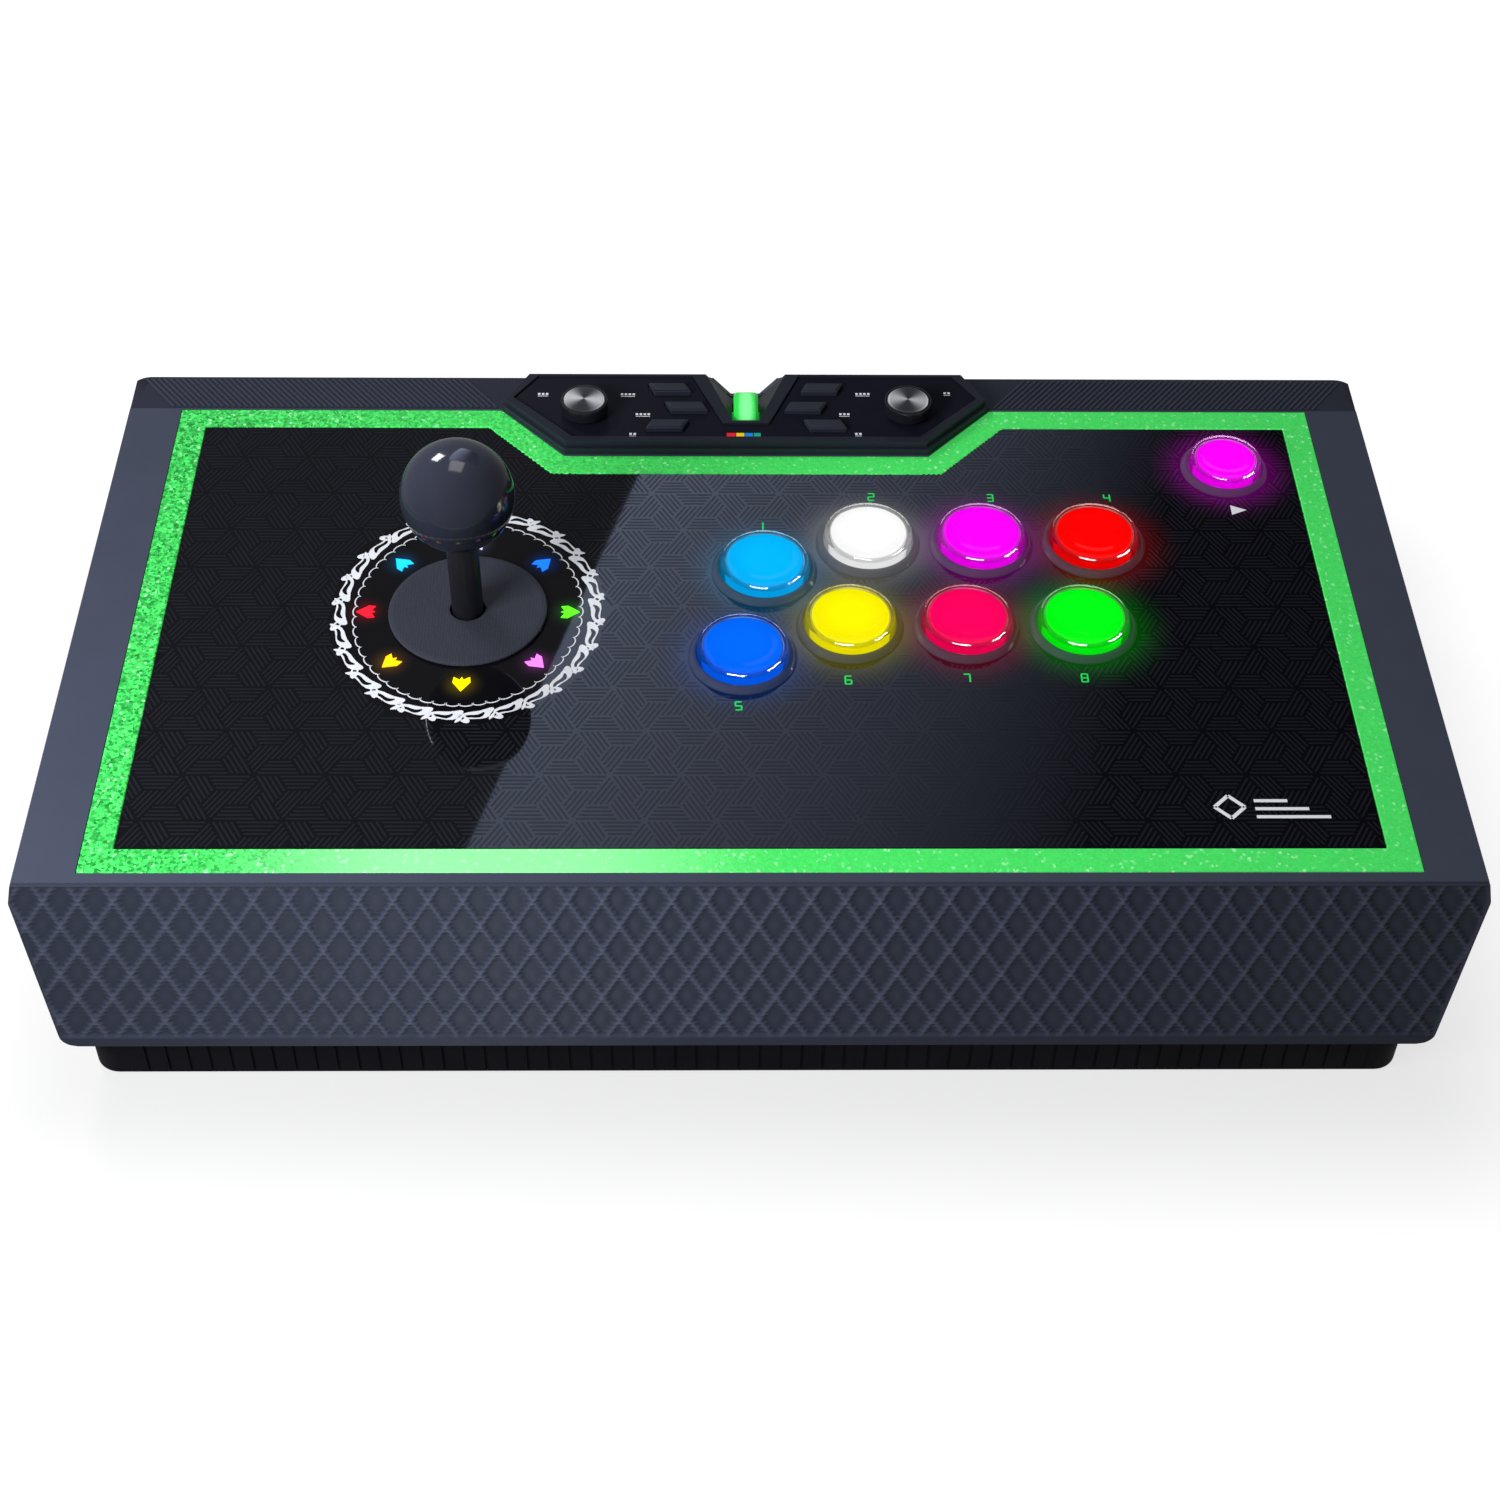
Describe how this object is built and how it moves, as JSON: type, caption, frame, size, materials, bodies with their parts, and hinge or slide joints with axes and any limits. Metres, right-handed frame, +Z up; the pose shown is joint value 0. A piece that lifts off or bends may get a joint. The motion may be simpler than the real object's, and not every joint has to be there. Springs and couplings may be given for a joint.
{
  "type": "arcade joystick panel",
  "caption": "Desktop arcade control panel with a ball-top lever, lit push buttons, rotary knobs, a thumb wheel and small keys on a gloss panel in a low case on a plinth.",
  "frame": {"origin": "centre of the footprint, on the surface the rubber feet stand on", "axes": "+X to the player's right along the case, +Y from the player to the rear, +Z up"},
  "size_m": [0.429, 0.234, 0.1633],
  "materials": {
    "case_plastic": "satin moulded",
    "cover_plastic": "quilted relief, satin",
    "trim_plastic": "fine slanted ribs",
    "base_plastic": "satin, ribbed",
    "foot_rubber": "matte",
    "screw_steel": "plated",
    "frame_glitter": "metal flake under clear coat",
    "plate_steel": "grey powder coat",
    "panel_gloss": "polished, faint relief pattern",
    "arrow_lens": "lit translucent",
    "board_green": "solder mask",
    "connector_steel": "plated",
    "module_plastic": "satin",
    "fascia_plastic": "satin",
    "key_plastic": "satin",
    "knob_black": "polished",
    "knob_alu": "spun",
    "wheel_green": "lit translucent",
    "status_lens": "lit segments",
    "ball_gloss": "polished",
    "shaft_steel": "ground",
    "sleeve_black": "satin",
    "washer_black": "fine texture",
    "gimbal_plastic": "natural acetal",
    "actuator_red": "moulded",
    "spring_steel": "drawn wire",
    "housing_black": "moulded",
    "gate_blue": "moulded",
    "switch_red": "moulded",
    "plunger_clear": "clear polished",
    "lamp_cyan": "lit",
    "lamp_white": "lit",
    "lamp_magenta": "lit",
    "lamp_red": "lit",
    "lamp_blue": "lit",
    "lamp_yellow": "lit",
    "lamp_crimson": "lit",
    "lamp_green": "lit",
    "button_black": "smoked, polished",
    "nut_black": "moulded",
    "switch_grey": "moulded"
  },
  "bodies": {
    "root": {"case_shell": "case_plastic", "front_cover": "cover_plastic", "rear_trims": "trim_plastic", "base_tray": "base_plastic", "feet": "foot_rubber", "machine_screws": "screw_steel", "green_frame": "frame_glitter", "mounting_plate": "plate_steel", "art_panel": "panel_gloss", "direction_lenses": "arrow_lens", "main_board": "board_green", "usb_socket": "connector_steel", "module_housing": "module_plastic", "module_fascia": "fascia_plastic", "status_lens": "status_lens", "module_board": "board_green", "lever_housing": "housing_black", "restrictor_gate": "gate_blue", "lever_switches": "switch_red", "button_housings": "button_black", "button_nuts": "nut_black", "button_switches": "switch_grey"},
    "gimbal": {"gimbal_ring": "gimbal_plastic"},
    "lever": {"ball_top": "ball_gloss", "shaft": "shaft_steel", "shaft_sleeve": "sleeve_black", "pivot_block": "gimbal_plastic", "actuator": "actuator_red", "centering_spring": "spring_steel"},
    "shutter": {"dust_shutter": "washer_black"},
    "washer": {"dust_washer": "washer_black"},
    "button_1": {"plunger_1": "plunger_clear", "lamp_1": "lamp_cyan"},
    "button_2": {"plunger_2": "plunger_clear", "lamp_2": "lamp_white"},
    "button_3": {"plunger_3": "plunger_clear", "lamp_3": "lamp_magenta"},
    "button_4": {"plunger_4": "plunger_clear", "lamp_4": "lamp_red"},
    "button_5": {"plunger_5": "plunger_clear", "lamp_5": "lamp_blue"},
    "button_6": {"plunger_6": "plunger_clear", "lamp_6": "lamp_yellow"},
    "button_7": {"plunger_7": "plunger_clear", "lamp_7": "lamp_crimson"},
    "button_8": {"plunger_8": "plunger_clear", "lamp_8": "lamp_green"},
    "button_start": {"plunger_start": "plunger_clear", "lamp_start": "lamp_magenta"},
    "key_left_rear": {"key_left_rear": "key_plastic"},
    "key_left_middle": {"key_left_middle": "key_plastic"},
    "key_left_front": {"key_left_front": "key_plastic"},
    "key_right_rear": {"key_right_rear": "key_plastic"},
    "key_right_middle": {"key_right_middle": "key_plastic"},
    "key_right_front": {"key_right_front": "key_plastic"},
    "knob_left": {"knob_left": "knob_black", "knob_disc_left": "knob_alu"},
    "knob_right": {"knob_right": "knob_black", "knob_disc_right": "knob_alu"},
    "wheel": {"thumb_wheel": "wheel_green"}
  },
  "joints": [
    {"name": "lever_fore_aft", "type": "hinge", "parent": "root", "child": "gimbal", "pos_m": [-0.0893, -0.0026, 0.0705], "axis": [1, 0, 0], "range_deg": [-10, 10], "stiffness_Nm_per_rad": 0.6},
    {"name": "lever_left_right", "type": "hinge", "parent": "gimbal", "child": "lever", "pos_m": [-0.0893, -0.0026, 0.0705], "axis": [0, 1, 0], "range_deg": [-10, 10], "stiffness_Nm_per_rad": 0.6},
    {"name": "shutter_slide", "type": "slide", "parent": "root", "child": "shutter", "axis": [1, 0, 0], "range_m": [-0.00484, 0.00484]},
    {"name": "washer_slide", "type": "slide", "parent": "shutter", "child": "washer", "axis": [0, 1, 0], "range_m": [-0.00484, 0.00484]},
    {"name": "press_1", "type": "slide", "parent": "root", "child": "button_1", "axis": [0, 0, -1], "range_m": [0, 0.0025], "stiffness_N_per_m": 150, "springref_m": -0.006},
    {"name": "press_2", "type": "slide", "parent": "root", "child": "button_2", "axis": [0, 0, -1], "range_m": [0, 0.0025], "stiffness_N_per_m": 150, "springref_m": -0.006},
    {"name": "press_3", "type": "slide", "parent": "root", "child": "button_3", "axis": [0, 0, -1], "range_m": [0, 0.0025], "stiffness_N_per_m": 150, "springref_m": -0.006},
    {"name": "press_4", "type": "slide", "parent": "root", "child": "button_4", "axis": [0, 0, -1], "range_m": [0, 0.0025], "stiffness_N_per_m": 150, "springref_m": -0.006},
    {"name": "press_5", "type": "slide", "parent": "root", "child": "button_5", "axis": [0, 0, -1], "range_m": [0, 0.0025], "stiffness_N_per_m": 150, "springref_m": -0.006},
    {"name": "press_6", "type": "slide", "parent": "root", "child": "button_6", "axis": [0, 0, -1], "range_m": [0, 0.0025], "stiffness_N_per_m": 150, "springref_m": -0.006},
    {"name": "press_7", "type": "slide", "parent": "root", "child": "button_7", "axis": [0, 0, -1], "range_m": [0, 0.0025], "stiffness_N_per_m": 150, "springref_m": -0.006},
    {"name": "press_8", "type": "slide", "parent": "root", "child": "button_8", "axis": [0, 0, -1], "range_m": [0, 0.0025], "stiffness_N_per_m": 150, "springref_m": -0.006},
    {"name": "press_start", "type": "slide", "parent": "root", "child": "button_start", "axis": [0, 0, -1], "range_m": [0, 0.0025], "stiffness_N_per_m": 150, "springref_m": -0.006},
    {"name": "tap_left_rear", "type": "slide", "parent": "root", "child": "key_left_rear", "axis": [0, 0, -1], "range_m": [0, 0.0008], "stiffness_N_per_m": 40, "springref_m": -0.01},
    {"name": "tap_left_middle", "type": "slide", "parent": "root", "child": "key_left_middle", "axis": [0, 0, -1], "range_m": [0, 0.0008], "stiffness_N_per_m": 40, "springref_m": -0.01},
    {"name": "tap_left_front", "type": "slide", "parent": "root", "child": "key_left_front", "axis": [0, 0, -1], "range_m": [0, 0.0008], "stiffness_N_per_m": 40, "springref_m": -0.01},
    {"name": "tap_right_rear", "type": "slide", "parent": "root", "child": "key_right_rear", "axis": [0, 0, -1], "range_m": [0, 0.0008], "stiffness_N_per_m": 40, "springref_m": -0.01},
    {"name": "tap_right_middle", "type": "slide", "parent": "root", "child": "key_right_middle", "axis": [0, 0, -1], "range_m": [0, 0.0008], "stiffness_N_per_m": 40, "springref_m": -0.01},
    {"name": "tap_right_front", "type": "slide", "parent": "root", "child": "key_right_front", "axis": [0, 0, -1], "range_m": [0, 0.0008], "stiffness_N_per_m": 40, "springref_m": -0.01},
    {"name": "knob_turn_left", "type": "hinge", "parent": "root", "child": "knob_left", "pos_m": [-0.0554, 0.0925, 0.0975], "axis": [0, 0, 1], "continuous": true},
    {"name": "knob_turn_right", "type": "hinge", "parent": "root", "child": "knob_right", "pos_m": [0.0554, 0.0925, 0.0975], "axis": [0, 0, 1], "continuous": true},
    {"name": "wheel_turn", "type": "hinge", "parent": "root", "child": "wheel", "pos_m": [0, 0.097, 0.0961], "axis": [1, 0, 0], "continuous": true}
  ],
  "couplings": [
    {"joint": "shutter_slide", "follows": "lever_left_right", "m_per_rad": 0.0277},
    {"joint": "washer_slide", "follows": "lever_fore_aft", "m_per_rad": -0.0277}
  ]
}
